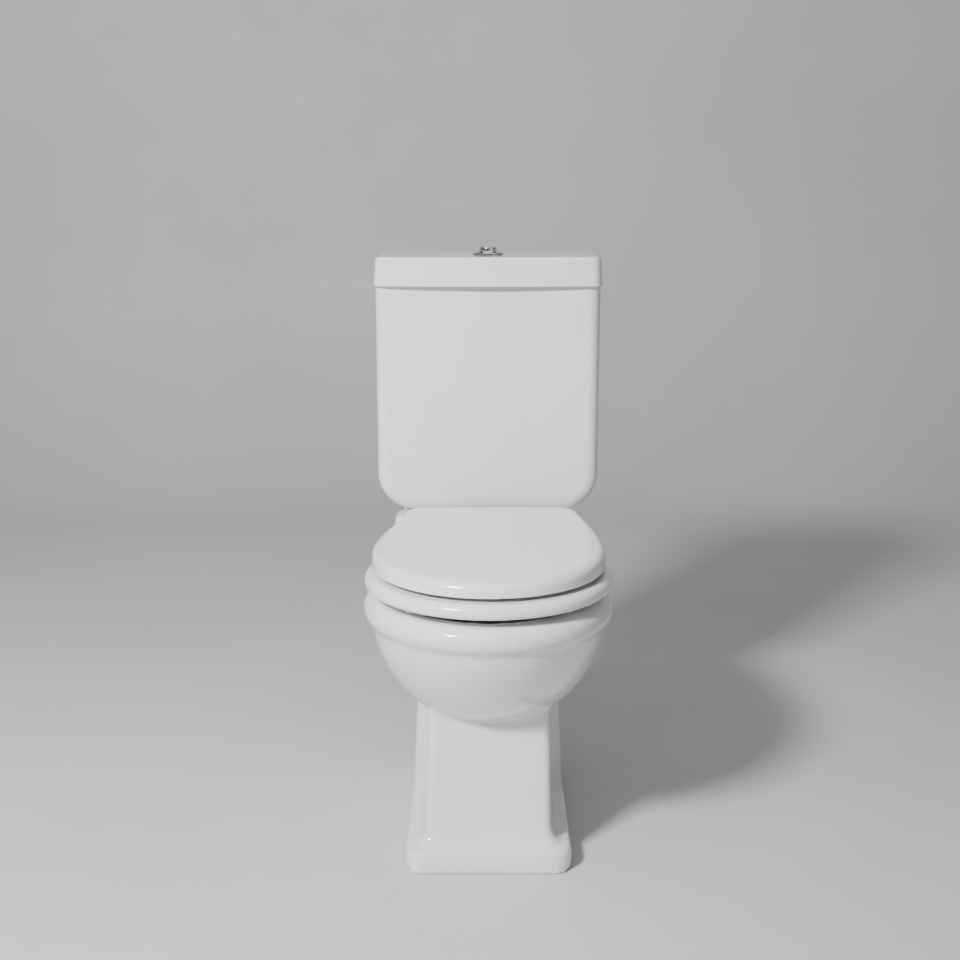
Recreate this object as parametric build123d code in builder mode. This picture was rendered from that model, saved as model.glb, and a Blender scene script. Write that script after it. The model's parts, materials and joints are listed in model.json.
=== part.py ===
"""Close coupled toilet: pan, cistern with its valves, flush buttons, and a hinged seat ring and lid.

The origin is on the floor, under the middle of the toilet. +Z is up, the front of the pan faces -Y,
and the cistern backs onto a wall at +Y. Every size is in millimetres. Depths are given as the
distance in front of the wall, and y_at() turns them into Y.
"""

from build123d import *
import os
from math import cos, radians, sin

os.makedirs("parts", exist_ok=True)

# ---- driving dimensions: the whole -------------------------------------------------------------
depth = 640.0  # wall to the front of the rim
wall_y = depth / 2
china = 11.0  # wall thickness of the pan
fit = 0.5  # room round pieces that only pass each other

# ---- pan -------------------------------------------------------------------------------------
rim_top = 409.0
rim_height = 41.0
rim_half = 184.25
rim_wide_at = 449.0
rim_top_r = 18.0
rim_foot_r = 22.0
shelf_back_at = 195.0
shelf_foot = rim_top - 14.0
opening_half = 142.0
opening_wide_at = 440.0
opening_front_at = 598.0
opening_back_at = 290.0
opening_back_half = 88.0
channel_foot = 364.0
deck_top = 459.0
deck_plate = 34.0
deck_back_at = 52.0
deck_front_at = 192.0
deck_half = 154.0
deck_tail_half = 106.0
deck_tail_end_at = 118.0
deck_wide_from = 142.0
shoulder_back_at = 162.0
shoulder_front_at = 262.0
shoulder_corner = 14.0
column_front_at = 508.0
column_back_at = 300.0
column_half_top = 88.0
column_half_foot = 94.0
body_back_at = 132.0
body_front_at = 350.0
body_taper = 70.0  # the housing narrows over this depth at its back
body_half_top = 108.0
body_half_foot = 121.0
body_tail_half = 78.0
foot_front_at = 538.0
foot_back_at = 112.0
foot_half = 123.0
foot_height = 35.0
foot_corner = 28.0
cove_r = 24.0
cove_steps = 5
column_corner = 7.0
spigot_r = 51.0
spigot_bore_r = 40.0
spigot_z = 180.0
spigot_end_at = 45.0
trap_r = 28.0
trap_wall = 9.0
weir_z = 236.0
dip_z = 132.0

hinge_hole_r = 7.0
floor_hole_at = 148.0
floor_hole_spacing = 204.0
floor_hole_r = 4.5

# ---- joint between pan and cistern ---------------------------------------------------------------
valve_at = 90.0  # both valves and the coupling bolts stand on this line
recess_r = 57.0
recess_depth = 25.0
flush_bore_r = 28.0
flush_z = 382.0
bolt_spacing = 152.0
bolt_r = 4.0
bolt_hole_r = 5.5

# ---- cistern ---------------------------------------------------------------------------------
tank_half = 181.5
tank_depth = 178.0
tank_bottom = 465.0
tank_top = 834.0
tank_wall = 10.0
tank_floor = 12.0
tank_corner = 60.0
tank_edge_r = 20.0
tank_inner_corner = 50.0
tank_inner_edge_r = 11.0
valve_hole_r = 33.0
inlet_x = -132.0
inlet_hole_r = 11.5
inlet_boss_r = 21.0
wall_hole_spacing = 220.0
wall_hole_z = 770.0
wall_hole_r = 4.0
cistern_lid_half = 184.0
cistern_lid_top = 880.0
cistern_lid_end_at = 184.0
cistern_lid_bow_at = 193.0
cistern_lid_corner = 20.0
cistern_lid_edge_r = 7.0
# the lid flares a little towards its lower edge: heights, and how far past the outline
cistern_lid_flare = ((tank_top, 0.5), (tank_top + 14, -1.0), (cistern_lid_top, -3.5))
plug_drop = 7.0
plug_gap = 2.5
lid_plate = 10.0

# ---- flush buttons -------------------------------------------------------------------------------
button_at = 100.0
button_hole_r = 21.0
bezel_r = 26.0
bezel_thread_r = 20.0
collar_r = 17.0
button_r = 14.4
button_bore_r = 14.7
button_top = 892.0
button_foot = 872.0
button_travel = 6.0
button_split_x = 2.0
button_split_gap = 0.8
bridge_z = 856.0
bridge_height = 3.0
push_rod_r = 2.5
push_rod_x = 7.5

# ---- seat ------------------------------------------------------------------------------------
hinge_at = 245.0
hinge_z = 443.0
hinge_spacing = 155.0
hinge_rod_r = 4.0
hinge_bore_r = 4.05
knuckle_r = 8.0
post_half = 7.0
ring_bottom = 421.6
ring_top = 442.0
ring_half = 182.0
ring_wide_at = 447.0
ring_front_at = 636.0
ring_back_at = 262.0
ring_back_half = 122.0
ring_hole_half = 108.0
ring_hole_wide_at = 448.0
ring_hole_front_at = 572.0
ring_hole_back_at = 300.0
ring_hole_back_half = 62.0
ring_corner = 20.0
ring_top_r = 11.0
ring_foot_r = 7.0
ring_hole_r = 8.0
lid_bottom = 448.0
lid_back_top = 487.0
lid_slope = 0.0475  # the lid gets thinner towards its front
lid_half = 171.0
lid_wide_at = 440.0
lid_front_at = 620.0
lid_back_at = 232.0
lid_back_half = 138.0
lid_wall = 6.0
lid_edge_r = 13.0
lid_corner = 34.0
buffer_r = 7.0
lid_buffer_height = 8.0
lid_boss_r = 9.0


def y_at(from_wall):
    """Y of a point at a distance in front of the wall."""
    return wall_y - from_wall


def oval(half, wide_at, front_at, back_at, back_half):
    """Plan outline: round nose, widest at wide_at, drawn in to a straight back edge."""
    with BuildLine() as line:
        nose = EllipticalCenterArc(
            (0, y_at(wide_at)), half, front_at - wide_at, start_angle=180, arc_size=180
        )
        lean = Vector(back_half - half, 0.8 * (wide_at - back_at))
        right = Spline(nose @ 1, (back_half, y_at(back_at)), tangents=((0, 1), lean))
        left = Spline(
            (-back_half, y_at(back_at)), nose @ 0, tangents=((-lean.X, -lean.Y), (0, -1))
        )
        Line(right @ 1, left @ 0)
    make_face(line.edges())


def oval_loft(rings):
    """Solid through plan outlines, each given as its height and the sizes of its oval."""
    with BuildPart() as solid:
        for z, half, wide_at, front_at, back_at, back_half in rings:
            with BuildSketch(Plane.XY.offset(z)):
                oval(half, wide_at, front_at, back_at, back_half)
        loft()
    return solid.part


def block(half, back_at, front_at, low, high, corner=0.0):
    """Upright block with rounded vertical corners, centred on X."""
    with BuildPart() as solid:
        with BuildSketch(Plane.XY.offset(low)):
            with Locations((0, y_at((back_at + front_at) / 2))):
                if corner:
                    RectangleRounded(2 * half, front_at - back_at, corner)
                else:
                    Rectangle(2 * half, front_at - back_at)
        extrude(amount=high - low)
    return solid.part


def tube(radius, low, high, x=0.0, at=valve_at, bore=0.0):
    """Upright cylinder or tube between two heights."""
    with BuildPart() as solid:
        with BuildSketch(Plane.XY.offset(low)):
            with Locations((x, y_at(at))):
                Circle(radius)
                if bore:
                    Circle(bore, mode=Mode.SUBTRACT)
        extrude(amount=high - low)
    return solid.part


def side_rod(radius, x_low, x_high, at, z, bore=0.0):
    """Cylinder or tube lying along X."""
    with BuildPart() as solid:
        with BuildSketch(Plane.YZ.offset(x_low)):
            with Locations((y_at(at), z)):
                Circle(radius)
                if bore:
                    Circle(bore, mode=Mode.SUBTRACT)
        extrude(amount=x_high - x_low)
    return solid.part


def deep_rod(radius, back_at, front_at, x, z, bore=0.0):
    """Cylinder or tube lying along Y."""
    with BuildPart() as solid:
        with BuildSketch(Plane.XZ.offset(-y_at(back_at))):
            with Locations((x, z)):
                Circle(radius)
                if bore:
                    Circle(bore, mode=Mode.SUBTRACT)
        extrude(amount=front_at - back_at)
    return solid.part


def keep(solid, name):
    """Label a finished piece and write it."""
    solid.label = name
    export_step(solid, f"parts/{name}.step")


# ---- pan: one glazed casting, hollow under the bowl ----------------------------------------------
bowl_rings = (
    (372.0, 172.5, 449.0, 628.0, 200.0, 132.0),
    (341.0, 167.0, 447.0, 617.0, 190.0, 118.0),
    (310.0, 157.0, 440.0, 598.0, 180.0, 104.0),
    (279.0, 142.0, 430.0, 573.0, 170.0, 92.0),
    (247.0, 120.0, 415.0, 538.0, 165.0, 84.0),
    (222.0, 96.0, 400.0, 496.0, 165.0, 76.0),
)
well_rings = (
    (370.0, 160.0, 449.0, 615.0, 284.0, 96.0),
    (341.0, 155.0, 447.0, 604.0, 286.0, 92.0),
    (310.0, 145.0, 440.0, 585.0, 289.0, 84.0),
    (279.0, 130.0, 430.0, 559.0, 294.0, 74.0),
    (247.0, 108.0, 415.0, 524.0, 300.0, 60.0),
    (222.0, 84.0, 405.0, 494.0, 304.0, 48.0),
    (180.0, 58.0, 400.0, 470.0, 310.0, 38.0),
    (140.0, 42.0, 395.0, 452.0, 320.0, 30.0),
    (106.0, 34.0, 390.0, 436.0, 335.0, 24.0),
)


def grown(rings, by):
    """The same rings, larger by a wall thickness all round, and lower at the bottom."""
    wider = [
        (z, half + by, wide_at, front_at + by, back_at - by, back_half + by)
        for z, half, wide_at, front_at, back_at, back_half in rings
    ]
    bottom = wider[-1]
    return wider[:-1] + [(bottom[0] - by,) + bottom[1:]]


well = oval_loft(well_rings)
well_shell = oval_loft(grown(well_rings, china))

with BuildPart() as rim:
    with BuildSketch(Plane.XY.offset(rim_top - rim_height)):
        oval(rim_half, rim_wide_at, depth, shelf_back_at, deck_half - 2)
    extrude(amount=rim_height)
    fillet(rim.edges().filter_by(Axis.Z), 12)
    fillet(rim.faces().sort_by(Axis.Z)[-1].edges(), rim_top_r)
    fillet(rim.faces().sort_by(Axis.Z)[0].edges(), rim_foot_r)

with BuildPart() as deck:
    with BuildSketch(Plane.XY.offset(deck_top - deck_plate)):
        with BuildLine():
            FilletPolyline(
                (-deck_tail_half, y_at(deck_back_at)),
                (deck_tail_half, y_at(deck_back_at)),
                (deck_tail_half, y_at(deck_tail_end_at)),
                (deck_half, y_at(deck_wide_from)),
                (deck_half, y_at(deck_front_at)),
                (-deck_half, y_at(deck_front_at)),
                (-deck_half, y_at(deck_wide_from)),
                (-deck_tail_half, y_at(deck_tail_end_at)),
                radius=10,
                close=True,
            )
        make_face()
    extrude(amount=deck_plate)
    fillet(deck.faces().sort_by(Axis.Z)[-1].edges(), 8)

# shoulders: the riser between shelf and deck, then drawn in downwards to the trap housing
with BuildPart() as shoulders:
    add(block(deck_half, shoulder_back_at - 4, deck_front_at, rim_top - 18, deck_top - deck_plate + 9, 10))
    for z, half in ((rim_top - 8, deck_half - 1), (360.0, 137.0), (290.0, body_half_top - 4)):
        with BuildSketch(Plane.XY.offset(z)):
            with Locations((0, y_at((shoulder_back_at + shoulder_front_at) / 2))):
                RectangleRounded(2 * half, shoulder_front_at - shoulder_back_at, shoulder_corner)
    loft()

# trap housing: the wider rear part of the pedestal, drawn in at its back corners
housing_rings = (
    (4.0, body_half_foot, body_tail_half + 6),
    (230.0, body_half_top + 4, body_tail_half),
    (rim_top - 6, body_half_top - 8, body_tail_half),
)


def housing_outline(half, tail, back_at, front_at):
    """Plan outline of the trap housing: narrow at the back, wide in the middle."""
    with BuildLine() as line:
        FilletPolyline(
            (-tail, y_at(back_at)),
            (tail, y_at(back_at)),
            (half, y_at(back_at + body_taper)),
            (half, y_at(front_at - 50)),
            (half - 28, y_at(front_at)),
            (28 - half, y_at(front_at)),
            (-half, y_at(front_at - 50)),
            (-half, y_at(back_at + body_taper)),
            radius=10,
            close=True,
        )
    make_face(line.edges())


def housing_loft(inset):
    """The trap housing, or the hollow inside it."""
    with BuildPart() as solid:
        for z, half, tail in housing_rings:
            with BuildSketch(Plane.XY.offset(z)):
                housing_outline(half - inset, tail - inset, body_back_at + inset, body_front_at - inset)
        loft()
    return solid.part


with BuildPart() as column:
    for z, half in ((foot_height - 10, column_half_foot), (262.0, column_half_top)):
        with BuildSketch(Plane.XY.offset(z)):
            with Locations((0, y_at((column_front_at + column_back_at) / 2))):
                RectangleRounded(2 * half, column_front_at - column_back_at, column_corner)
    loft()

# hollow quarter-round where the column spreads onto the foot
with BuildPart() as cove:
    for step in range(cove_steps + 1):
        angle = radians(90.0 * step / cove_steps)
        spread = cove_r * (1 - sin(angle))
        with BuildSketch(Plane.XY.offset(foot_height - 1 + cove_r * (1 - cos(angle)))):
            with Locations((0, y_at((column_front_at + column_back_at) / 2))):
                RectangleRounded(
                    2 * (column_half_foot + spread),
                    column_front_at - column_back_at + 2 * spread,
                    column_corner + spread,
                )
    loft()

with BuildPart() as foot:
    with BuildSketch():
        with Locations((0, y_at((foot_front_at + foot_back_at) / 2))):
            RectangleRounded(2 * foot_half, foot_front_at - foot_back_at, foot_corner)
    extrude(amount=foot_height)
    fillet(foot.faces().sort_by(Axis.Z)[-1].edges(), 5)

# trapway: from the sump over the weir and down to the spigot
trap_points = (
    (0, y_at(372), dip_z),
    (0, y_at(318), dip_z),
    (0, y_at(262), weir_z),
    (0, y_at(212), weir_z),
    (0, y_at(176), spigot_z),
    (0, y_at(100), spigot_z),
)


def trapway(radius):
    """Round passage along the trapway."""
    with BuildPart() as solid:
        with BuildLine() as path:
            FilletPolyline(*trap_points, radius=24)
        with BuildSketch(Plane(trap_points[0], x_dir=(1, 0, 0), z_dir=(0, 1, 0))):
            Circle(radius)
        sweep(path=path.line)
    return solid.part


def flush_way(radius, top):
    """Flush passage: down from the cistern, then forward under the rim."""
    with BuildPart() as solid:
        add(tube(radius, flush_z - radius, top))
        add(deep_rod(radius * 0.7, valve_at, opening_back_at + 12, 0, flush_z))
    return solid.part


# open channel under the rim, which spreads the flush round the bowl
with BuildPart() as rim_channel:
    with BuildSketch(Plane.XY.offset(channel_foot)):
        oval(opening_half + 22, opening_wide_at, opening_front_at + 20, opening_back_at - 20, 100.0)
        with BuildSketch(mode=Mode.SUBTRACT):
            oval(opening_half + 9, opening_wide_at, opening_front_at + 9, opening_back_at - 9, 94.0)
    extrude(amount=rim_top - china - channel_foot)

with BuildPart() as rim_opening:
    with BuildSketch(Plane.XY.offset(channel_foot - 4)):
        oval(opening_half, opening_wide_at, opening_front_at, opening_back_at, opening_back_half)
    extrude(amount=rim_top - channel_foot + 9)

with BuildPart() as foot_hollow:
    add(block(foot_half - 13, foot_back_at + 13, foot_front_at - 13, -1, foot_height - 11, 16))
    add(housing_loft(china))
    add(block(200, 0, 400, shelf_foot, 500), mode=Mode.SUBTRACT)
    add(block(column_half_top - 11, column_back_at - 20, column_front_at - 13, 10, 250, 6))
    add(block(body_half_top - 12, shoulder_back_at + 6, shoulder_front_at, 370, shelf_foot, 10))
    add(well_shell, mode=Mode.SUBTRACT)
    add(trapway(trap_r + trap_wall), mode=Mode.SUBTRACT)
    add(flush_way(flush_bore_r + 11, deck_top), mode=Mode.SUBTRACT)
    add(tube(recess_r + 11, deck_top - deck_plate, deck_top), mode=Mode.SUBTRACT)
    add(deep_rod(spigot_r, body_back_at, 176, 0, spigot_z), mode=Mode.SUBTRACT)

with BuildPart() as pan_skin:
    add(column.part)
    add(cove.part)
    add(foot.part)
    add(housing_loft(0))
    add(oval_loft(bowl_rings))
    add(rim.part)
    add(deck.part)
    add(shoulders.part)
    add(tube(flush_bore_r + 14, 344.0, deck_top - 10))
    add(block(flush_bore_r + 14, valve_at, 150, 344, deck_top - 10))
    add(deep_rod(spigot_r, spigot_end_at, 176, 0, spigot_z))

with BuildPart() as pan:
    add(pan_skin.part)
    add(foot_hollow.part, mode=Mode.SUBTRACT)
    add(well, mode=Mode.SUBTRACT)
    add(rim_opening.part, mode=Mode.SUBTRACT)
    add(rim_channel.part, mode=Mode.SUBTRACT)
    add(trapway(trap_r), mode=Mode.SUBTRACT)
    add(deep_rod(spigot_bore_r, spigot_end_at - 1, body_back_at + 8, 0, spigot_z), mode=Mode.SUBTRACT)
    add(flush_way(flush_bore_r, deck_top), mode=Mode.SUBTRACT)
    add(tube(recess_r, deck_top - recess_depth, deck_top + 1), mode=Mode.SUBTRACT)
    with Locations(Plane.XY.offset(deck_top)):
        with Locations((0, y_at(valve_at))):
            with GridLocations(bolt_spacing, 1, 2, 1):
                Hole(bolt_hole_r, depth=deck_plate + 1)
    with Locations(Plane.XY.offset(rim_top)):
        with Locations((0, y_at(hinge_at))):
            with GridLocations(hinge_spacing, 1, 2, 1):
                Hole(hinge_hole_r, depth=20)
    with Locations(Plane.XY.offset(foot_height)):
        with Locations((0, y_at(floor_hole_at))):
            with GridLocations(floor_hole_spacing, 1, 2, 1):
                Hole(floor_hole_r, depth=foot_height + 1)

keep(pan.part, "pan")

# ---- cistern tank ----------------------------------------------------------------------------


def tank_block(inset, floor, top, corner, edge_r):
    """Upright box with rounded lower corners, its front edges rounded all the way round."""
    with BuildPart() as solid:
        with BuildSketch(Plane.XZ.offset(-y_at(inset))):
            with BuildLine():
                FilletPolyline(
                    (inset - tank_half, top),
                    (inset - tank_half, floor),
                    (tank_half - inset, floor),
                    (tank_half - inset, top),
                    radius=corner,
                )
                Line((tank_half - inset, top), (inset - tank_half, top))
            make_face()
        extrude(amount=tank_depth - 2 * inset)
        front = solid.faces().sort_by(Axis.Y)[0]
        fillet(front.edges().filter_by_position(Axis.Z, floor - 1, top - 1), edge_r)
    return solid.part


with BuildPart() as cistern_tank:
    add(tank_block(0, tank_bottom, tank_top, tank_corner, tank_edge_r))
    add(
        tank_block(
            tank_wall, tank_bottom + tank_floor, tank_top + 20, tank_inner_corner, tank_inner_edge_r
        ),
        mode=Mode.SUBTRACT,
    )
    add(tube(inlet_boss_r, tank_bottom, tank_bottom + tank_floor, inlet_x))
    add(
        tube(inlet_boss_r - 1, tank_bottom + tank_floor, tank_bottom + 50, inlet_x),
        mode=Mode.SUBTRACT,
    )
    add(tube(valve_hole_r, tank_bottom - 1, tank_bottom + 40), mode=Mode.SUBTRACT)
    add(tube(inlet_hole_r, tank_bottom - 1, tank_bottom + 40, inlet_x), mode=Mode.SUBTRACT)
    for x in (-bolt_spacing / 2, bolt_spacing / 2):
        add(tube(bolt_hole_r, tank_bottom - 1, tank_bottom + 40, x), mode=Mode.SUBTRACT)
    for x in (-wall_hole_spacing / 2, wall_hole_spacing / 2):
        add(deep_rod(wall_hole_r, -1, tank_wall + 1, x, wall_hole_z), mode=Mode.SUBTRACT)

keep(cistern_tank.part, "cistern_tank")

# ---- cistern lid: bowed front, hollow underneath, plug that sits inside the tank ----------------


def lid_outline(grow):
    """Plan outline of the cistern lid."""
    half = cistern_lid_half + grow
    corner = cistern_lid_corner + grow
    with BuildLine() as line:
        back = Line((-half, y_at(1)), (half, y_at(1)))
        right = Line(back @ 1, (half, y_at(cistern_lid_end_at - corner)))
        bow = ThreePointArc(
            (half - corner, y_at(cistern_lid_end_at + grow + 2)),
            (0, y_at(cistern_lid_bow_at + grow)),
            (corner - half, y_at(cistern_lid_end_at + grow + 2)),
        )
        left = Line((-half, y_at(cistern_lid_end_at - corner)), back @ 0)
        TangentArc((half, right.end_point().Y), bow @ 0, tangent=(0, -1))
        TangentArc((-half, left.start_point().Y), bow @ 1, tangent=(0, -1))
    make_face(line.edges())


with BuildPart() as cistern_lid:
    for z, grow in cistern_lid_flare:
        with BuildSketch(Plane.XY.offset(z)):
            lid_outline(grow)
    loft()
    fillet(cistern_lid.faces().sort_by(Axis.Z)[-1].edges(), cistern_lid_edge_r)
    plug_inset = tank_wall + plug_gap
    plug_half = tank_half - plug_inset
    add(block(plug_half, plug_inset, tank_depth - plug_inset, tank_top - plug_drop, tank_top, 12))
    add(
        block(
            plug_half - 8,
            plug_inset + 8,
            tank_depth - plug_inset - 8,
            tank_top - plug_drop - 1,
            cistern_lid_top - lid_plate,
            8,
        ),
        mode=Mode.SUBTRACT,
    )
    add(tube(button_hole_r, cistern_lid_top - 20, cistern_lid_top + 1, at=button_at), mode=Mode.SUBTRACT)

keep(cistern_lid.part, "cistern_lid")

# ---- flush buttons in the lid -------------------------------------------------------------------
gasket_top = cistern_lid_top + 1.0
collar_top = gasket_top + 5.0

with BuildPart() as bezel_gasket:
    add(tube(bezel_r - 1.5, cistern_lid_top, gasket_top, at=button_at, bore=bezel_thread_r))
keep(bezel_gasket.part, "bezel_gasket")

with BuildPart() as button_bezel:
    with BuildSketch(Plane.YZ) as bezel_profile:
        with BuildLine():
            Polyline(
                (y_at(button_at) + bezel_r, gasket_top),
                (y_at(button_at) + bezel_r, gasket_top + 1.5),
                (y_at(button_at) + bezel_r - 2.5, gasket_top + 3.2),
                (y_at(button_at) + collar_r, collar_top - 1.0),
                (y_at(button_at) + collar_r - 1.0, collar_top),
                (y_at(button_at) + button_bore_r, collar_top),
                (y_at(button_at) + button_bore_r, bridge_z),
                (y_at(button_at) + bezel_thread_r, bridge_z),
                (y_at(button_at) + bezel_thread_r, gasket_top),
                close=True,
            )
        make_face()
    revolve(axis=Axis((0, y_at(button_at), 0), (0, 0, 1)))
    add(tube(button_bore_r + 1, bridge_z, bridge_z + bridge_height, at=button_at))
    for x in (-push_rod_x, push_rod_x):
        add(
            tube(push_rod_r + fit, bridge_z - 1, bridge_z + bridge_height + 1, x, button_at),
            mode=Mode.SUBTRACT,
        )
keep(button_bezel.part, "button_bezel")

with BuildPart() as bezel_clamp_nut:
    add(
        tube(
            button_hole_r + 7,
            cistern_lid_top - lid_plate - 8,
            cistern_lid_top - lid_plate,
            at=button_at,
            bore=bezel_thread_r,
        )
    )
    with Locations((0, y_at(button_at), cistern_lid_top - lid_plate - 4)):
        with PolarLocations(button_hole_r + 7.5, 8):
            Cylinder(2.0, 8, mode=Mode.SUBTRACT)
keep(bezel_clamp_nut.part, "bezel_clamp_nut")


def button_half(low_x, high_x):
    """One half of the round button, between two planes across X."""
    with BuildPart() as solid:
        with BuildSketch(Plane.XY.offset(button_foot)):
            with Locations((0, y_at(button_at))):
                Circle(button_r)
                with Locations(((low_x + high_x) / 2, 0)):
                    Rectangle(high_x - low_x, 2 * button_r + 2, mode=Mode.INTERSECT)
        extrude(amount=button_top - button_foot)
        fillet(solid.faces().sort_by(Axis.Z)[-1].edges(), 1.2)
    return solid.part


full_button = button_half(-button_r - 1, button_split_x - button_split_gap / 2)
half_button = button_half(button_split_x + button_split_gap / 2, button_r + 1)
keep(full_button, "full_flush_button")
keep(half_button, "half_flush_button")

full_rod_foot = 729.0
half_rod_foot = 736.5
keep(tube(push_rod_r, full_rod_foot, button_foot, -push_rod_x, button_at), "full_push_rod")
keep(tube(push_rod_r, half_rod_foot, button_foot, push_rod_x, button_at), "half_push_rod")

spring_foot = bridge_z + bridge_height
spring_wire = 0.6
for name, x in (("full_button_spring", -push_rod_x), ("half_button_spring", push_rod_x)):
    with BuildPart() as spring:
        with BuildLine() as coil:
            Helix(
                pitch=2.3,
                height=button_foot - spring_foot - 2 * spring_wire,
                radius=4.0,
                center=(x, y_at(button_at), spring_foot + spring_wire),
            )
        with BuildSketch(Plane(coil.line @ 0, z_dir=coil.line % 0)):
            Circle(spring_wire)
        sweep(path=coil.line, is_frenet=True)
    keep(spring.part, name)

# ---- joint between tank and pan ------------------------------------------------------------------
shank_r = 30.0
nut_top = tank_bottom
nut_height = 15.0
doughnut = tube(recess_r - 1, deck_top - recess_depth, tank_bottom, bore=40.0)
keep(doughnut, "doughnut_washer")


def pair(make):
    """Two copies of a small piece, one at each coupling bolt."""
    return Compound(children=[make(-bolt_spacing / 2), make(bolt_spacing / 2)])


def wing_nut(x, at, low, high, core_r, bore_r, reach):
    """Nut with two flat wings."""
    with BuildPart() as solid:
        add(tube(core_r, low, high, x, at))
        with BuildSketch(Plane.XY.offset(low - 2)):
            with Locations((x, y_at(at))):
                Rectangle(2 * reach, 3)
        extrude(amount=high - low - 1)
        add(tube(bore_r, low - 3, high + 1, x, at), mode=Mode.SUBTRACT)
    return solid.part


def bolt(x):
    """Coupling bolt, its hexagon head inside the tank."""
    with BuildPart() as solid:
        add(tube(bolt_r, 404.0, tank_bottom + tank_floor + 4.5, x))
        with BuildSketch(Plane.XY.offset(tank_bottom + tank_floor + 4.5)):
            with Locations((x, y_at(valve_at))):
                RegularPolygon(7.5, 6)
        extrude(amount=6)
    return solid.part


deck_foot = deck_top - deck_plate
keep(pair(bolt), "coupling_bolts")
keep(
    pair(lambda x: tube(14, tank_bottom + tank_floor, tank_bottom + tank_floor + 4.5, x, bore=bolt_r)),
    "coupling_sealing_washers",
)
keep(pair(lambda x: tube(12, deck_top, tank_bottom, x, bore=bolt_r)), "coupling_spacers")
keep(pair(lambda x: tube(12, deck_foot - 2, deck_foot, x, bore=bolt_r)), "coupling_steel_washers")
keep(
    pair(lambda x: wing_nut(x, valve_at, deck_foot - 12, deck_foot - 2, 7, bolt_r, 15)),
    "coupling_wing_nuts",
)

# ---- flush valve: shank and seat, basket with the rocker tower, lifting overflow tube -------------
floor_z = tank_bottom + tank_floor
washer_top = floor_z + 3.0
seat_z = washer_top + 9.0
basket_r = 40.0
basket_top = 640.0
tube_r = 14.0
tube_foot = seat_z + 4.0
tube_top = 694.0
rocker_x = 13.0
rocker_z = 718.0
rocker_in = 20.0
rocker_out = 40.0
valve_lift = button_travel * rocker_out / rocker_in
tower_at = button_at
plunger_at = tower_at + 22
plunger_r = 3.0

with BuildPart() as flush_valve_body:
    add(tube(shank_r, 445.0, washer_top + 2, bore=24.0))
    add(tube(basket_r + 6, washer_top, washer_top + 4, bore=24.0))
    add(tube(28.0, washer_top + 4, seat_z, bore=24.0))
    add(tube(basket_r + 2, washer_top + 4, washer_top + 12, bore=basket_r))
keep(flush_valve_body.part, "flush_valve_body")
keep(tube(basket_r + 4, floor_z, washer_top, bore=shank_r), "flush_valve_washer")

with BuildPart() as flush_valve_back_nut:
    add(tube(38.0, nut_top - nut_height, nut_top, bore=shank_r))
    with Locations((0, y_at(valve_at), nut_top - nut_height / 2)):
        with PolarLocations(39.0, 6):
            Cylinder(3.0, nut_height, mode=Mode.SUBTRACT)
keep(flush_valve_back_nut.part, "flush_valve_back_nut")

with BuildPart() as flush_valve_basket:
    add(tube(basket_r - 0.2, washer_top + 4, basket_top, bore=basket_r - 3))
    add(tube(basket_r - 0.2, basket_top, basket_top + 4, bore=tube_r + fit))
    with Locations((0, y_at(valve_at), 560)):
        with PolarLocations(basket_r, 6, start_angle=30):
            Box(12, 22, 90, mode=Mode.SUBTRACT)
    with Locations((0, y_at(valve_at), washer_top + 22)):
        with PolarLocations(basket_r, 6, start_angle=30):
            Box(12, 26, 24, mode=Mode.SUBTRACT)
    for at in (tower_at - 11.5, tower_at + 11.5):
        with BuildSketch(Plane.XZ.offset(-y_at(at - 1.5))):
            with BuildLine():
                Polyline(
                    (tube_r + 3.5, basket_top + 3),
                    (tube_r + 19, basket_top + 3),
                    (rocker_x + 7, rocker_z + 6),
                    (rocker_x - 7, rocker_z + 6),
                    (rocker_x - 7, tube_top + valve_lift + 1),
                    (tube_r + 3.5, tube_top + valve_lift + 1),
                    close=True,
                )
            make_face()
        extrude(amount=3)
    add(deep_rod(2.0 + fit / 10, tower_at - 16, tower_at + 16, rocker_x, rocker_z), mode=Mode.SUBTRACT)
    with BuildSketch(Plane.XY.offset(700)):
        with Locations((push_rod_x + 2, y_at(tower_at + 15))):
            Rectangle(9, 8)
    extrude(amount=8)
    add(tube(6.0, 698, 710, push_rod_x, plunger_at))
    add(tube(plunger_r + fit, 690, 720, push_rod_x, plunger_at), mode=Mode.SUBTRACT)
keep(flush_valve_basket.part, "flush_valve_basket")
keep(deep_rod(2.0, tower_at - 14.5, tower_at + 14.5, rocker_x, rocker_z), "rocker_pin")

with BuildPart() as flush_rocker:
    with BuildSketch(Plane.XZ.offset(-y_at(tower_at - 4))):
        with BuildLine():
            Polyline(
                (rocker_x - rocker_in, rocker_z + 4),
                (rocker_x - rocker_in, rocker_z + 9),
                (rocker_x, rocker_z + 5),
                (rocker_x + rocker_out, rocker_z + 3),
                (rocker_x + rocker_out, rocker_z - 3),
                (rocker_x, rocker_z - 5),
                close=True,
            )
        make_face()
        for x, z, r in ((-rocker_in, 7.0, 3.5), (rocker_out, 0.0, 3.0)):
            with Locations((rocker_x + x, rocker_z + z)):
                Circle(r)
    extrude(amount=8)
    add(deep_rod(5.0, tower_at - 8, tower_at + 8, rocker_x, rocker_z))
    add(deep_rod(2.05, tower_at - 16, tower_at + 16, rocker_x, rocker_z), mode=Mode.SUBTRACT)
keep(flush_rocker.part, "flush_rocker")

with BuildPart() as half_flush_plunger:
    add(tube(plunger_r, 686, half_rod_foot - 3.5, push_rod_x, plunger_at))
    with BuildSketch(Plane.XY.offset(half_rod_foot - 3.5)):
        with Locations((push_rod_x, y_at((tower_at + plunger_at) / 2))):
            RectangleRounded(8, plunger_at - tower_at + 8, 3)
    extrude(amount=3)
keep(half_flush_plunger.part, "half_flush_plunger")

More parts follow.
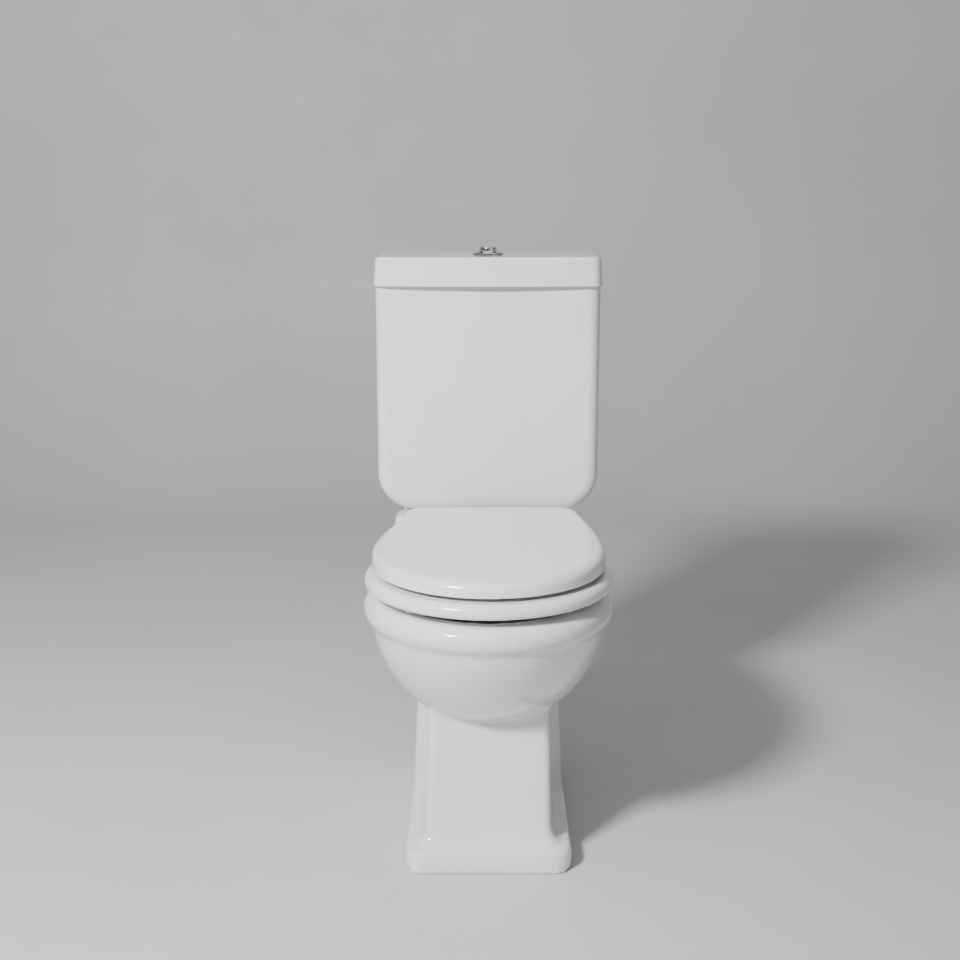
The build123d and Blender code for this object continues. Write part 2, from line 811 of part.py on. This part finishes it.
with BuildPart() as overflow_tube:
    add(tube(tube_r, tube_foot, tube_top))
    add(tube(32.0, tube_foot, tube_foot + 3))
    for x_low, x_high, z_low, z_high in (
        (0.0, rocker_x + rocker_out + 8, tube_top - 10, tube_top - 2),
        (rocker_x + rocker_out + 4, rocker_x + rocker_out + 8, tube_top - 10, rocker_z + 7),
        (rocker_x + rocker_out - 6, rocker_x + rocker_out + 8, rocker_z + 3.5, rocker_z + 7),
    ):
        with BuildSketch(Plane.XY.offset(z_low)):
            with Locations(((x_low + x_high) / 2, y_at(tower_at))):
                Rectangle(x_high - x_low, 8)
        extrude(amount=z_high - z_low)
    add(tube(tube_r - 3, tube_foot - 1, tube_top + 1), mode=Mode.SUBTRACT)
keep(overflow_tube.part, "overflow_tube")
keep(tube(33.0, seat_z, tube_foot, bore=tube_r - 3), "valve_seal")

# ---- fill valve: threaded inlet and riser, head, float cup, lever and refill tube -----------------
inlet_r = 10.48
shank_in_tank_r = 10.8
inlet_foot = 425.0
riser_r = 11.0
riser_top = 700.0
head_top = 728.0
cap_top = 738.0
lever_x = inlet_x - 6.0
lever_z = 749.0
lever_arm = 40.0
lever_drop = 9.0
lever_tilt = 13.0029
float_r = 30.0
float_foot = 540.0
float_height = 70.0
link_x = lever_x + lever_arm * cos(radians(lever_tilt))
link_r = 1.5
refill_at = 129.0

with BuildPart() as fill_valve_riser:
    add(tube(inlet_r, inlet_foot, tank_bottom - 10, inlet_x, bore=6.0))
    add(tube(shank_in_tank_r, tank_bottom - 10, floor_z + 3, inlet_x, bore=6.0))
    add(tube(17.0, floor_z + 3, floor_z + 7, inlet_x, bore=6.0))
    add(tube(riser_r, floor_z + 7, riser_top, inlet_x, bore=6.0))
keep(fill_valve_riser.part, "fill_valve_riser")
keep(tube(17.0, floor_z, floor_z + 3, inlet_x, bore=shank_in_tank_r), "inlet_washer")

with BuildPart() as inlet_back_nut:
    with BuildSketch(Plane.XY.offset(tank_bottom - 10)):
        with Locations((inlet_x, y_at(valve_at))):
            RegularPolygon(16.0, 6)
            Circle(shank_in_tank_r, mode=Mode.SUBTRACT)
    extrude(amount=10)
keep(inlet_back_nut.part, "inlet_back_nut")

keep(tube(16.0, riser_top, head_top, inlet_x, bore=6.0), "fill_valve_head")

with BuildPart() as fill_valve_cap:
    add(tube(18.0, head_top, cap_top, inlet_x))
    for at in (valve_at - 9, valve_at + 6):
        with BuildSketch(Plane.XZ.offset(-y_at(at))):
            with Locations((lever_x, (cap_top - 1 + lever_z) / 2)):
                Rectangle(12, lever_z - cap_top + 1)
            with Locations((lever_x, lever_z)):
                Circle(6)
        extrude(amount=3)
    add(deep_rod(2.05, valve_at - 12, valve_at + 12, lever_x, lever_z), mode=Mode.SUBTRACT)
keep(fill_valve_cap.part, "fill_valve_cap")
keep(deep_rod(2.0, valve_at - 10, valve_at + 10, lever_x, lever_z), "fill_lever_pin")

with BuildPart() as fill_valve_lever:
    with BuildSketch(Plane.XZ.offset(-y_at(valve_at - 4))):
        with Locations(Location((lever_x, lever_z), -lever_tilt)):
            with Locations((lever_arm / 2 - 1, 0)):
                Rectangle(lever_arm + 12, 4)
            Circle(5)
    extrude(amount=8)
    add(deep_rod(2.05, valve_at - 12, valve_at + 12, lever_x, lever_z), mode=Mode.SUBTRACT)
    with BuildSketch(Plane.XY.offset(lever_z - 20)):
        with Locations((link_x - 0.3, y_at(valve_at))):
            Rectangle(7, 4)
    extrude(amount=40, mode=Mode.SUBTRACT)
keep(fill_valve_lever.part, "fill_valve_lever")

with BuildPart() as float_cup:
    add(tube(float_r, float_foot, float_foot + float_height, inlet_x))
    with BuildSketch(Plane.XY.offset(float_foot + float_height - 8)):
        with Locations(((inlet_x + float_r + link_x) / 2, y_at(valve_at))):
            Rectangle(link_x - inlet_x - float_r + 12, 9)
    extrude(amount=8)
    add(
        tube(float_r - 2.5, float_foot - 1, float_foot + float_height - 3, inlet_x, bore=riser_r + 4),
        mode=Mode.SUBTRACT,
    )
    add(
        tube(riser_r + 1.2, float_foot - 1, float_foot + float_height + 1, inlet_x),
        mode=Mode.SUBTRACT,
    )
    add(
        tube(link_r, float_foot + 40, float_foot + float_height + 1, link_x),
        mode=Mode.SUBTRACT,
    )
keep(float_cup.part, "float_cup")
keep(tube(link_r, float_foot + float_height - 8, lever_z + 20, link_x), "float_link")

lever_tip_z = lever_z - lever_drop
keep(
    Compound(
        children=[
            tube(4.0, lever_tip_z - 7.4, lever_tip_z - 4.4, link_x, bore=link_r),
            tube(4.0, lever_tip_z + 4.4, lever_tip_z + 7.4, link_x, bore=link_r),
        ]
    ),
    "link_adjusters",
)

with BuildPart() as refill_tube:
    add(tube(6.0, floor_z + 14, riser_top + 18, inlet_x, refill_at))
    add(deep_rod(5.0, valve_at + 12, refill_at, inlet_x, riser_top + 12))
    add(tube(4.5, floor_z + 13, riser_top + 15, inlet_x, refill_at), mode=Mode.SUBTRACT)
    add(deep_rod(3.5, valve_at + 12, refill_at, inlet_x, riser_top + 12), mode=Mode.SUBTRACT)
    add(tube(16.0, riser_top, head_top, inlet_x), mode=Mode.SUBTRACT)
keep(refill_tube.part, "refill_tube")

# ---- seat hinge: two posts on the shelf, one rod through posts and knuckles ----------------------
post_r = 9.0
post_base_r = 19.0
ring_knuckle_x = (58.0, 69.5)
lid_knuckle_x = (85.5, 97.0)
rod_half = 103.0


def hinge_post(x):
    """Post with a round foot that carries the hinge rod."""
    with BuildPart() as solid:
        add(tube(post_base_r, rim_top, rim_top + 5, x, hinge_at))
        fillet(solid.edges().filter_by(GeomType.CIRCLE).sort_by(Axis.Z)[-1], 3)
        with BuildSketch(Plane.YZ.offset(x - post_half)):
            with Locations((y_at(hinge_at), hinge_z)):
                Circle(post_r)
            with Locations((y_at(hinge_at), (rim_top + 2 + hinge_z) / 2)):
                Rectangle(2 * post_r, hinge_z - rim_top - 2)
        extrude(amount=2 * post_half)
        add(side_rod(hinge_rod_r, x - 10, x + 10, hinge_at, hinge_z), mode=Mode.SUBTRACT)
    return solid.part


def at_hinges(make):
    """Two copies of a small piece, one at each hinge."""
    return Compound(children=[make(-hinge_spacing / 2), make(hinge_spacing / 2)])


keep(hinge_post(-hinge_spacing / 2), "left_hinge_post")
keep(hinge_post(hinge_spacing / 2), "right_hinge_post")
keep(side_rod(hinge_rod_r, -rod_half, rod_half, hinge_at, hinge_z), "hinge_rod")


def rod_cap(side):
    """Domed cap over one end of the hinge rod."""
    with BuildPart() as solid:
        low, high = sorted((side * (rod_half - 5), side * (rod_half + 5)))
        add(side_rod(7.0, low, high, hinge_at, hinge_z))
        fillet(solid.faces().sort_by(Axis.X)[-1 if side > 0 else 0].edges(), 3.5)
        add(side_rod(hinge_rod_r, -rod_half, rod_half, hinge_at, hinge_z), mode=Mode.SUBTRACT)
    return solid.part


keep(Compound(children=[rod_cap(-1), rod_cap(1)]), "hinge_rod_caps")
keep(at_hinges(lambda x: tube(4.0, shelf_foot - 22, rim_top, x, hinge_at)), "hinge_studs")


def cone_washer(x):
    """Rubber washer with a sleeve that centres the stud in its hole."""
    with BuildPart() as solid:
        add(tube(13.0, shelf_foot - 3, shelf_foot, x, hinge_at))
        add(tube(hinge_hole_r - 0.3, shelf_foot, rim_top - 2, x, hinge_at))
        add(tube(4.0, shelf_foot - 4, rim_top, x, hinge_at), mode=Mode.SUBTRACT)
    return solid.part


keep(at_hinges(cone_washer), "hinge_washers")
keep(
    at_hinges(lambda x: wing_nut(x, hinge_at, shelf_foot - 13, shelf_foot - 3, 7, 4.0, 11)),
    "hinge_wing_nuts",
)

# ---- seat ring -------------------------------------------------------------------------------
with BuildPart() as seat_ring:
    with BuildSketch(Plane.XY.offset(ring_bottom)):
        oval(ring_half, ring_wide_at, ring_front_at, ring_back_at, ring_back_half)
    extrude(amount=ring_top - ring_bottom)
    fillet(seat_ring.edges().filter_by(Axis.Z), ring_corner)
    fillet(seat_ring.faces().sort_by(Axis.Z)[-1].edges(), ring_top_r)
    fillet(seat_ring.faces().sort_by(Axis.Z)[0].edges(), ring_foot_r)
    with BuildSketch(Plane.XY.offset(ring_bottom - 1)):
        oval(ring_hole_half, ring_hole_wide_at, ring_hole_front_at, ring_hole_back_at, ring_hole_back_half)
    extrude(amount=ring_top - ring_bottom + 2, mode=Mode.SUBTRACT)
    top_face = seat_ring.faces().filter_by(Plane.XY).sort_by(Axis.Z)[-1]
    fillet(top_face.inner_wires()[0].edges(), ring_hole_r)
    for low_x, high_x in (ring_knuckle_x, (-ring_knuckle_x[1], -ring_knuckle_x[0])):
        with BuildSketch(Plane.YZ.offset(low_x)):
            with Locations((y_at(hinge_at), hinge_z)):
                Circle(knuckle_r)
            with BuildLine():
                Polyline(
                    (y_at(hinge_at + 2), hinge_z - knuckle_r + 0.3),
                    (y_at(ring_back_at + 16), ring_bottom + 3),
                    (y_at(ring_back_at + 16), ring_top - 1),
                    (y_at(hinge_at + 2), hinge_z + knuckle_r - 0.3),
                    close=True,
                )
            make_face()
        extrude(amount=high_x - low_x)
    add(side_rod(hinge_bore_r, -rod_half, rod_half, hinge_at, hinge_z), mode=Mode.SUBTRACT)
keep(seat_ring.part, "seat_ring")

ring_buffer_spots = ((-110, 555), (110, 555), (-137, 340), (137, 340))
keep(
    Compound(children=[tube(buffer_r, rim_top, ring_bottom, x, at) for x, at in ring_buffer_spots]),
    "ring_buffers",
)

# ---- seat lid: shell with a soft rounded edge, open underneath -----------------------------------
lid_buffer_spots = ((-100, 545), (100, 545), (-130, 335), (130, 335))


def lid_ceiling(at, below):
    """Height under the lid's sloping top, at a distance in front of the wall."""
    return lid_back_top - below - lid_slope * (at - lid_back_at)


def lid_form(inset, low, edge_r):
    """Outer form of the lid, or the hollow inside it."""
    top = Plane((0, y_at(lid_back_at), lid_ceiling(lid_back_at, inset)), (1, 0, 0), (0, -lid_slope, 1))
    with BuildPart() as solid:
        with BuildSketch(Plane.XY.offset(low)):
            oval(
                lid_half - inset,
                lid_wide_at,
                lid_front_at - inset,
                lid_back_at + inset,
                lid_back_half - inset,
            )
        extrude(amount=lid_back_top + lid_wall - low)
        fillet(solid.edges().filter_by(Axis.Z), lid_corner - inset)
        split(bisect_by=top, keep=Keep.BOTTOM)
        fillet(solid.faces().sort_by(Axis.Z)[-1].edges(), edge_r)
    return solid.part


with BuildPart() as seat_lid:
    add(lid_form(0, lid_bottom, lid_edge_r))
    fillet(seat_lid.faces().sort_by(Axis.Z)[0].edges(), 2.5)
    add(lid_form(lid_wall, lid_bottom - 1, lid_edge_r - lid_wall), mode=Mode.SUBTRACT)
    add(block(113, lid_back_at - 5, hinge_at + 2, lid_bottom - 1, 464, 0), mode=Mode.SUBTRACT)
    for x, at in lid_buffer_spots:
        add(tube(lid_boss_r, ring_top + lid_buffer_height, lid_ceiling(at, lid_wall / 2), x, at))
    for low_x, high_x in (lid_knuckle_x, (-lid_knuckle_x[1], -lid_knuckle_x[0])):
        with BuildSketch(Plane.YZ.offset(low_x)):
            with Locations((y_at(hinge_at), hinge_z)):
                Circle(knuckle_r)
            with Locations((y_at(hinge_at), (hinge_z + lid_ceiling(hinge_at, lid_wall / 2)) / 2)):
                Rectangle(2 * knuckle_r, lid_ceiling(hinge_at, lid_wall / 2) - hinge_z)
        extrude(amount=high_x - low_x)
    add(side_rod(hinge_bore_r, -rod_half, rod_half, hinge_at, hinge_z), mode=Mode.SUBTRACT)
keep(seat_lid.part, "seat_lid")
keep(
    Compound(
        children=[
            tube(buffer_r, ring_top, ring_top + lid_buffer_height, x, at) for x, at in lid_buffer_spots
        ]
    ),
    "lid_buffers",
)
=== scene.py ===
"""Close coupled toilet: glazes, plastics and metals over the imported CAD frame, with a soft studio.

Everything is in metres in the frame's own coordinates. +Z is up and the pan faces -Y.
"""

import json
from math import cos, pi, radians, sin

import bmesh
import bpy
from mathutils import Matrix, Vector


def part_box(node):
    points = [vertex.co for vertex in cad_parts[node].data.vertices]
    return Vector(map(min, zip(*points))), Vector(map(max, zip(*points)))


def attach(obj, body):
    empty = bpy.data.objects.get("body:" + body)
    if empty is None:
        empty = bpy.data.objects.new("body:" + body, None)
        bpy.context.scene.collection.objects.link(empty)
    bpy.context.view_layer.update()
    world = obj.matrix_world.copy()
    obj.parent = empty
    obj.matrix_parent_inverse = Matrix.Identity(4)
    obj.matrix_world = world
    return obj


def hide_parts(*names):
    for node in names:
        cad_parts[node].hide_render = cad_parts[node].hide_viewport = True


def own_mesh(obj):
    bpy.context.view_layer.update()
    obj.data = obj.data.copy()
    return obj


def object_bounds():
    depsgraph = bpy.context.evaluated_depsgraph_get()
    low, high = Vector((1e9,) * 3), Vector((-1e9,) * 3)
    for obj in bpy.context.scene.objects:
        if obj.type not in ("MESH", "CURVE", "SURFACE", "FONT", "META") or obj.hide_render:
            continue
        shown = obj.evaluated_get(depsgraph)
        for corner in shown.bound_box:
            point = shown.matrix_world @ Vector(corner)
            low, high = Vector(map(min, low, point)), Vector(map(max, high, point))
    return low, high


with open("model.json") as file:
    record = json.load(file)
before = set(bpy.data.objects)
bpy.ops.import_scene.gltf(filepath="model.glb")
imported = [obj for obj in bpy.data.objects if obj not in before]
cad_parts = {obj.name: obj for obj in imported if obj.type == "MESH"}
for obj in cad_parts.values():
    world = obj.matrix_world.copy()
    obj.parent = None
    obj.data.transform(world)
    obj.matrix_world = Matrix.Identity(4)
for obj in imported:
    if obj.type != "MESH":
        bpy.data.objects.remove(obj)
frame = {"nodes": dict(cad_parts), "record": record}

cad_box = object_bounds()
body_of_node = {
    node: body for body, nodes in frame["record"]["behaviour"]["bodies"].items() for node in nodes
}
slot_of_node = {row["node"]: row["material_slot"] for row in frame["record"]["subparts"]}


# ---- materials ---------------------------------------------------------------------------------
class Surface:
    """A Principled material whose colour, roughness and bump come from nodes."""

    def __init__(self, name):
        self.material = bpy.data.materials.new(name)
        self.material.use_nodes = True
        self.tree = self.material.node_tree
        self.shader = self.tree.nodes["Principled BSDF"]
        self.place = self.tree.nodes.new("ShaderNodeTexCoord").outputs["Object"]
        self.height = None

    def node(self, kind, **values):
        made = self.tree.nodes.new(kind)
        for key, value in values.items():
            setattr(made, key, value)
        return made

    def link(self, source, target):
        self.tree.links.new(source, target)

    def noise(self, scale, detail=4.0, stretch=(1, 1, 1)):
        """Noise over the object, finer along an axis whose stretch is larger."""
        mapping = self.node("ShaderNodeMapping")
        mapping.inputs["Scale"].default_value = stretch
        self.link(self.place, mapping.inputs["Vector"])
        noise = self.node("ShaderNodeTexNoise")
        noise.inputs["Scale"].default_value = scale
        noise.inputs["Detail"].default_value = detail
        self.link(mapping.outputs["Vector"], noise.inputs["Vector"])
        return noise.outputs["Fac"]

    def ramp(self, source, stops):
        """Colour ramp; each stop is a position and a colour."""
        ramp = self.node("ShaderNodeValToRGB")
        ramp.color_ramp.interpolation = "EASE"
        while len(ramp.color_ramp.elements) < len(stops):
            ramp.color_ramp.elements.new(0.5)
        for element, (position, colour) in zip(ramp.color_ramp.elements, stops):
            element.position = position
            element.color = (*colour, 1.0)
        self.link(source, ramp.inputs["Fac"])
        return ramp.outputs["Color"]

    def mix(self, factor, a, b):
        """Mix two colours, each a socket or a plain value, by a factor socket."""
        mix = self.node("ShaderNodeMix", data_type="RGBA")
        self.link(factor, mix.inputs[0])
        for socket, value in ((mix.inputs[6], a), (mix.inputs[7], b)):
            if isinstance(value, bpy.types.NodeSocket):
                self.link(value, socket)
            else:
                socket.default_value = (*value, 1.0)
        return mix.outputs[2]

    def remap(self, source, low, high, from_low=0.3, from_high=0.7):
        span = self.node("ShaderNodeMapRange")
        span.inputs["From Min"].default_value = from_low
        span.inputs["From Max"].default_value = from_high
        span.inputs["To Min"].default_value = low
        span.inputs["To Max"].default_value = high
        self.link(source, span.inputs["Value"])
        return span.outputs["Result"]

    def bump(self, source, strength, distance):
        """Add a bump layer on top of the ones before it."""
        bump = self.node("ShaderNodeBump")
        bump.inputs["Strength"].default_value = strength
        bump.inputs["Distance"].default_value = distance
        self.link(source, bump.inputs["Height"])
        if self.height:
            self.link(self.height, bump.inputs["Normal"])
        self.height = bump.outputs["Normal"]

    def done(self, colour, roughness, **uniform):
        self.link(colour, self.shader.inputs["Base Color"])
        self.link(roughness, self.shader.inputs["Roughness"])
        if self.height:
            self.link(self.height, self.shader.inputs["Normal"])
        for key, value in uniform.items():
            self.shader.inputs[key.replace("_", " ")].default_value = value
        return self.material


def tint(colour, by):
    return tuple(min(1.0, channel * by) for channel in colour)


def glaze():
    """White sanitary glaze: slow thickness waves, fine pinholes, bare bisque under the foot."""
    s = Surface("white_glaze")
    white = s.ramp(s.noise(5.0, 3.0), ((0.3, (0.80, 0.80, 0.785)), (0.7, (0.845, 0.845, 0.835))))
    specks = s.ramp(s.noise(900.0, 2.0), ((0.24, (0.45, 0.42, 0.38)), (0.27, (1.0, 1.0, 1.0))))
    speckled = s.node("ShaderNodeMix", data_type="RGBA", blend_type="MULTIPLY")
    speckled.inputs[0].default_value = 0.35
    s.link(white, speckled.inputs[6])
    s.link(specks, speckled.inputs[7])
    split = s.node("ShaderNodeSeparateXYZ")
    s.link(s.place, split.inputs["Vector"])
    bare = s.remap(split.outputs["Z"], 1.0, 0.0, 0.0005, 0.003)
    colour = s.mix(bare, speckled.outputs[2], (0.72, 0.67, 0.58))
    rough = s.node("ShaderNodeMath", operation="MAXIMUM")
    s.link(s.remap(s.noise(14.0), 0.07, 0.13), rough.inputs[0])
    s.link(s.remap(bare, 0.0, 0.8, 0.0, 1.0), rough.inputs[1])
    s.bump(s.noise(7.0, 1.0), 0.25, 0.0016)
    s.bump(s.noise(260.0, 2.0), 0.03, 0.0004)
    return s.done(colour, rough.outputs["Value"], Coat_Weight=0.5, Coat_Roughness=0.04, IOR=1.5)


def seat_plastic():
    """Moulded thermoset: gloss white, faint flow clouding and fine rub marks."""
    s = Surface("seat_plastic")
    colour = s.ramp(s.noise(9.0, 5.0), ((0.3, (0.85, 0.85, 0.84)), (0.7, (0.885, 0.885, 0.875))))
    rough = s.remap(s.noise(30.0, 6.0, (1, 4, 1)), 0.14, 0.24)
    s.bump(s.noise(420.0, 3.0), 0.04, 0.0003)
    s.bump(s.noise(11.0, 1.0), 0.12, 0.001)
    return s.done(colour, rough, Coat_Weight=0.35, Coat_Roughness=0.08, IOR=1.5)


def metal(name, colour, low, high, stretch=(1, 1, 1), scale=60.0, dulled=0.9):
    """Polished or brushed metal with fine rub marks and duller patches."""
    s = Surface(name)
    tone = s.ramp(s.noise(25.0, 4.0), ((0.3, tint(colour, dulled)), (0.7, colour)))
    s.bump(s.noise(scale * 12, 3.0, stretch), 0.06, 0.0002)
    return s.done(tone, s.remap(s.noise(scale, 6.0, stretch), low, high), Metallic=1.0)


def polymer(name, colour, low, high, grain=500.0, strength=0.12, sheen=0.0):
    """Moulded plastic or rubber with a fine grain."""
    s = Surface(name)
    tone = s.ramp(s.noise(18.0, 5.0), ((0.3, tint(colour, 0.9)), (0.7, tint(colour, 1.05))))
    s.bump(s.noise(grain, 3.0), strength, 0.0004)
    return s.done(tone, s.remap(s.noise(40.0, 4.0), low, high), Sheen_Weight=sheen)


def foam():
    """Closed-cell foam: small pits all over, each pit darkened with painted shade."""
    s = Surface("sealing_foam")
    cells = s.node("ShaderNodeTexVoronoi")
    cells.inputs["Scale"].default_value = 420.0
    s.link(s.place, cells.inputs["Vector"])
    # pit colour is painted shade: the ramp darkens the same cell centres that the bump sinks
    pit_shade, skin = (0.02, 0.02, 0.022), (0.09, 0.09, 0.1)
    tone = s.ramp(cells.outputs["Distance"], ((0.05, pit_shade), (0.5, skin)))
    s.bump(cells.outputs["Distance"], 0.6, 0.0008)
    return s.done(tone, s.remap(s.noise(50.0), 0.75, 0.95), IOR=1.4)


finishes = {
    "china": glaze(),
    "seat": seat_plastic(),
    "chrome": metal("polished_chrome", (0.82, 0.83, 0.85), 0.03, 0.10, scale=80.0, dulled=0.94),
    "steel": metal("brushed_steel", (0.60, 0.60, 0.62), 0.22, 0.40, (1, 1, 14)),
    "brass": metal("plain_brass", (0.70, 0.52, 0.25), 0.20, 0.42, (1, 1, 8), dulled=0.7),
    "rubber": polymer("black_rubber", (0.035, 0.035, 0.036), 0.55, 0.75, sheen=0.15),
    "foam": foam(),
    "white_rubber": polymer("white_rubber", (0.74, 0.74, 0.72), 0.45, 0.6),
    "white_plastic": polymer("natural_plastic", (0.78, 0.78, 0.74), 0.32, 0.48, 700.0, 0.08),
    "grey_plastic": polymer("grey_plastic", (0.40, 0.41, 0.43), 0.32, 0.48, 700.0, 0.08),
    "blue_plastic": polymer("blue_plastic", (0.05, 0.17, 0.42), 0.3, 0.45, 700.0, 0.08),
}
for node, slot in slot_of_node.items():
    piece = frame["nodes"][node]
    piece.data.materials.clear()
    piece.data.materials.append(finishes[slot])


# ---- pieces that replace or detail a CAD node --------------------------------------------------
def new_piece(name, mesh, node, body=None):
    """A piece with a node's finish, on the node's body or on another one."""
    piece = bpy.data.objects.new(name, mesh)
    bpy.context.scene.collection.objects.link(piece)
    mesh.materials.clear()
    mesh.materials.append(finishes[slot_of_node[node]])
    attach(piece, body or body_of_node[node])
    return piece


def applied(piece):
    """Turn a piece's modifiers into its mesh."""
    depsgraph = bpy.context.evaluated_depsgraph_get()
    mesh = bpy.data.meshes.new_from_object(piece.evaluated_get(depsgraph))
    piece.modifiers.clear()
    old = piece.data
    piece.data = mesh
    bpy.data.meshes.remove(old)


def softened(node, name, voxel, rounds):
    """A cast piece: the node's form with its sharp joints melted as slip and glaze leave them."""
    mesh = frame["nodes"][node].data.copy()
    mesh.name = name
    piece = new_piece(name, mesh, node)
    remesh = piece.modifiers.new("cast", "REMESH")
    remesh.mode = "VOXEL"
    remesh.voxel_size = voxel
    smooth = piece.modifiers.new("glaze", "SMOOTH")
    smooth.factor = 0.5
    smooth.iterations = rounds
    applied(piece)
    for polygon in piece.data.polygons:
        polygon.use_smooth = True
    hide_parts(node)


cast_voxel = 0.0047
glaze_rounds = 7
softened("pan", "pan_casting", cast_voxel, glaze_rounds)


def return_spring(node):
    """A button's spring: a copy of the node's coil, carried on the cistern lid's body."""
    spring = new_piece(f"{node}_coil", frame["nodes"][node].data.copy(), node, "lid_of_cistern")
    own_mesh(spring)
    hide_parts(node)


return_spring("full_button_spring")
return_spring("half_button_spring")


def thread(name, node, x, y, low, high, radius, pitch, depth):
    """Screw thread: a helical ridge wound on a threaded piece."""
    mesh = bpy.data.meshes.new(name)
    form = bmesh.new()
    steps = 28
    turns = int((high - low) / pitch) - 1
    rings = []
    for i in range(turns * steps + 1):
        angle = 2 * pi * i / steps
        z = low + pitch * (i / steps + 0.5)
        fade = min(1.0, i / steps, turns - i / steps)
        ring = []
        for r, lift in ((-depth, -0.45), (depth * (2 * fade - 1), 0.0), (-depth, 0.45)):
            reach = radius + r
            ring.append(
                form.verts.new((x + reach * cos(angle), y + reach * sin(angle), z + lift * pitch))
            )
        rings.append(ring)
    for a, b in zip(rings, rings[1:]):
        for k in range(3):
            form.faces.new((a[k], b[k], b[(k + 1) % 3], a[(k + 1) % 3]))
    form.faces.new(rings[0])
    form.faces.new(tuple(reversed(rings[-1])))
    bmesh.ops.recalc_face_normals(form, faces=form.faces)
    form.to_mesh(mesh)
    form.free()
    return new_piece(name, mesh, node)


def middle(node):
    low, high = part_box(node)
    return [(a + b) / 2 for a, b in zip(low, high)]


tail_r, tail_pitch, tail_ridge, tail_chamfer = 0.0104, 0.0018, 0.0005, 0.001
bolt_r, bolt_pitch, bolt_ridge, bolt_chamfer = 0.004, 0.00125, 0.0003, 0.0005
nut_overlap = 0.001

nut_mid = middle("inlet_back_nut")
thread(
    "inlet_thread", "fill_valve_riser", nut_mid[0], nut_mid[1],
    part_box("fill_valve_riser")[0][2] + tail_chamfer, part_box("inlet_back_nut")[0][2],
    tail_r, tail_pitch, tail_ridge,
)
washers_low, washers_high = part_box("coupling_steel_washers")
washer_r = (washers_high[1] - washers_low[1]) / 2
for side, x in (("left", washers_low[0] + washer_r), ("right", washers_high[0] - washer_r)):
    thread(
        f"bolt_thread_{side}", "coupling_bolts", x, middle("coupling_bolts")[1],
        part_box("coupling_bolts")[0][2] + bolt_chamfer,
        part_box("coupling_wing_nuts")[0][2] + nut_overlap,
        bolt_r, bolt_pitch, bolt_ridge,
    )


# ---- studio -----------------------------------------------------------------------------------
wall_y = cad_box[1][1]


def floor_material():
    s = Surface("studio_floor")
    colour = s.ramp(s.noise(1.5, 6.0), ((0.3, (0.60, 0.59, 0.575)), (0.7, (0.64, 0.63, 0.615))))
    s.bump(s.noise(90.0, 5.0), 0.1, 0.0006)
    return s.done(colour, s.remap(s.noise(12.0), 0.5, 0.65))


def studio():
    """Pale floor that curves up into a backdrop behind the object."""
    mesh = bpy.data.meshes.new("studio_floor")
    form = bmesh.new()
    reach, front, back, bend, height = 6.0, -5.0, wall_y + 1.6, 0.8, 5.0
    bend_steps = 12
    outline = [(front, 0.0), (back, 0.0)]
    for k in range(1, bend_steps + 1):
        angle = radians(90 * k / bend_steps)
        outline.append((back + bend * sin(angle), bend * (1 - cos(angle))))
    outline.append((back + bend, height))
    rows = [[form.verts.new((x, y, z)) for x in (-reach, reach)] for y, z in outline]
    for a, b in zip(rows, rows[1:]):
        form.faces.new((a[0], a[1], b[1], b[0]))
    form.to_mesh(mesh)
    form.free()
    for polygon in mesh.polygons:
        polygon.use_smooth = True
    floor = bpy.data.objects.new("studio_floor", mesh)
    bpy.context.scene.collection.objects.link(floor)
    mesh.materials.append(floor_material())


studio()


def lamp(name, place, target, width, height, power, colour=(1, 1, 1)):
    """Rectangular soft light that faces a point."""
    data = bpy.data.lights.new(name, "AREA")
    data.shape = "RECTANGLE"
    data.size = width
    data.size_y = height
    data.energy = power
    data.color = colour
    light = bpy.data.objects.new(name, data)
    light.location = place
    light.rotation_euler = (Vector(target) - Vector(place)).to_track_quat("-Z", "Y").to_euler()
    bpy.context.scene.collection.objects.link(light)


lamp("key", (-1.5, -2.1, 2.2), (0, 0, 0.5), 0.5, 0.35, 170, (1.0, 0.985, 0.96))
lamp("fill", (2.2, -1.9, 1.5), (0, 0, 0.45), 2.0, 2.0, 6, (0.94, 0.97, 1.0))
lamp("top", (0, -0.1, 3.0), (0, 0, 0.5), 2.4, 2.4, 16)
world = bpy.data.worlds.new("studio")
bpy.context.scene.world = world
world.use_nodes = True
background = world.node_tree.nodes["Background"]
background.inputs["Color"].default_value = (0.86, 0.88, 0.9, 1)
background.inputs["Strength"].default_value = 0.16

# ---- camera -----------------------------------------------------------------------------------
eye_height = 1.0
eye_from_wall = 2.412
eye_left = 0.013
tilt_down = 12.2
sensor_mm = 36.0
lens_mm = 52.1
camera_data = bpy.data.cameras.new("camera")
camera_data.sensor_width = sensor_mm
camera_data.lens = lens_mm
camera = bpy.data.objects.new("camera", camera_data)
camera.location = (-eye_left, wall_y - eye_from_wall, eye_height)
camera.rotation_euler = (radians(90 - tilt_down), 0, 0)
bpy.context.scene.collection.objects.link(camera)
bpy.context.scene.camera = camera
